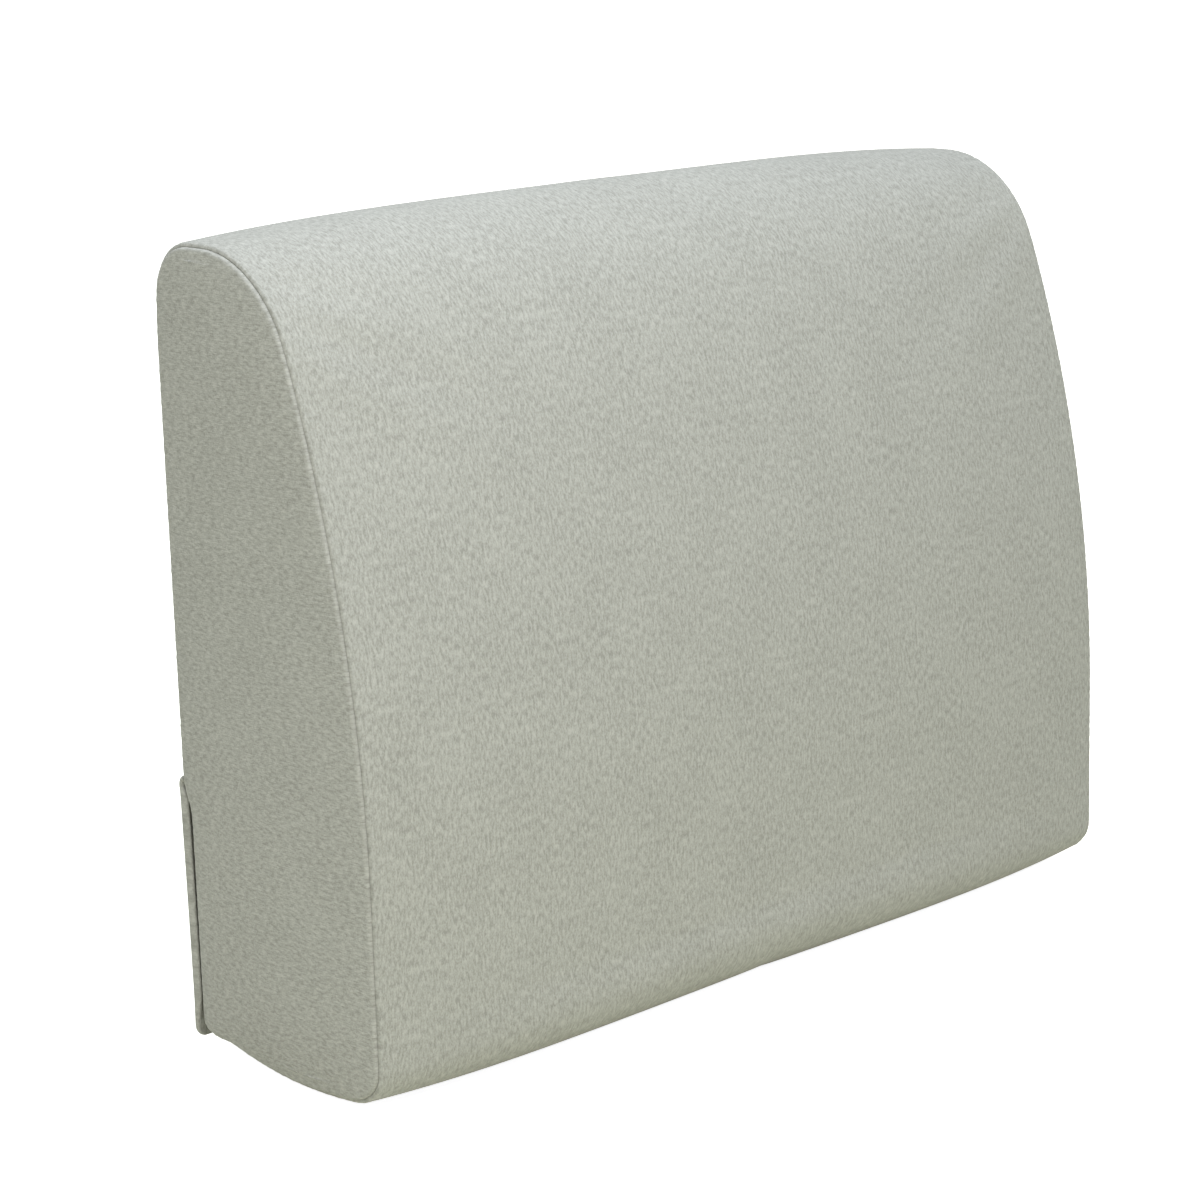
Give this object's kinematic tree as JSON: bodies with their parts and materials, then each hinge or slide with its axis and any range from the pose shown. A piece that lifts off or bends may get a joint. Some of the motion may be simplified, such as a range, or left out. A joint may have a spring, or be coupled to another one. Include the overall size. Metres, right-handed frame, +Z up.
{
  "type": "lumbar support cushion",
  "caption": "Wide wedge cushion with an upright back, a sloping rounded front, D-shaped side panels and a hanging flap that covers the zip at the lower back.",
  "frame": {"origin": "on the flat base, midway across the width and midway between the front and the upper back", "axes": "+X across the width, to the right of someone who looks at the front; the front faces -Y and the flat back faces +Y; +Z up. Left and right in names are that onlooker's."},
  "size_m": [0.595, 0.1637, 0.45],
  "materials": {
    "cover_cloth": "matte",
    "firm_foam": "matte",
    "soft_foam": "matte",
    "fibre": "matte",
    "zip_tape": "matte",
    "zip_coil": "satin",
    "zip_metal": "satin",
    "hook_and_loop": "matte",
    "label_satin": "satin"
  },
  "bodies": {
    "cushion": {"support_foam_core": "firm_foam", "comfort_foam_layer": "soft_foam", "fibre_wadding_wrap": "fibre", "left_end_wadding": "fibre", "right_end_wadding": "fibre", "front_wrap_panel": "cover_cloth", "left_side_panel": "cover_cloth", "right_side_panel": "cover_cloth", "upper_back_panel": "cover_cloth", "zip_band_panel": "cover_cloth", "lower_back_panel": "cover_cloth", "zip_tape_upper": "zip_tape", "zip_tape_lower": "zip_tape", "zip_coil_upper": "zip_coil", "zip_coil_lower": "zip_coil", "zip_stop_left": "zip_metal", "zip_stop_right": "zip_metal", "loop_patch_left": "hook_and_loop", "loop_patch_middle": "hook_and_loop", "loop_patch_right": "hook_and_loop", "care_label": "label_satin"},
    "flap": {"closure_flap": "cover_cloth", "hook_patch_left": "hook_and_loop", "hook_patch_middle": "hook_and_loop", "hook_patch_right": "hook_and_loop"},
    "slider": {"zip_slider": "zip_metal"},
    "pull": {"zip_pull_tab": "zip_metal"}
  },
  "joints": [
    {"name": "flap_lift", "type": "hinge", "parent": "cushion", "child": "flap", "pos_m": [0, 0.0821, 0.1531], "axis": [1, 0, 0], "range_deg": [0, 170]},
    {"name": "zip_slide", "type": "slide", "parent": "cushion", "child": "slider", "axis": [-1, 0, 0], "range_m": [0, 0.534]},
    {"name": "zip_pull_turn", "type": "hinge", "parent": "slider", "child": "pull", "pos_m": [0.267, 0.07675, 0.112], "axis": [0, 0, -1], "range_deg": [0, 170]}
  ],
  "couplings": [
    {"joint": "zip_pull_turn", "follows": "flap_lift", "ratio": 1}
  ]
}
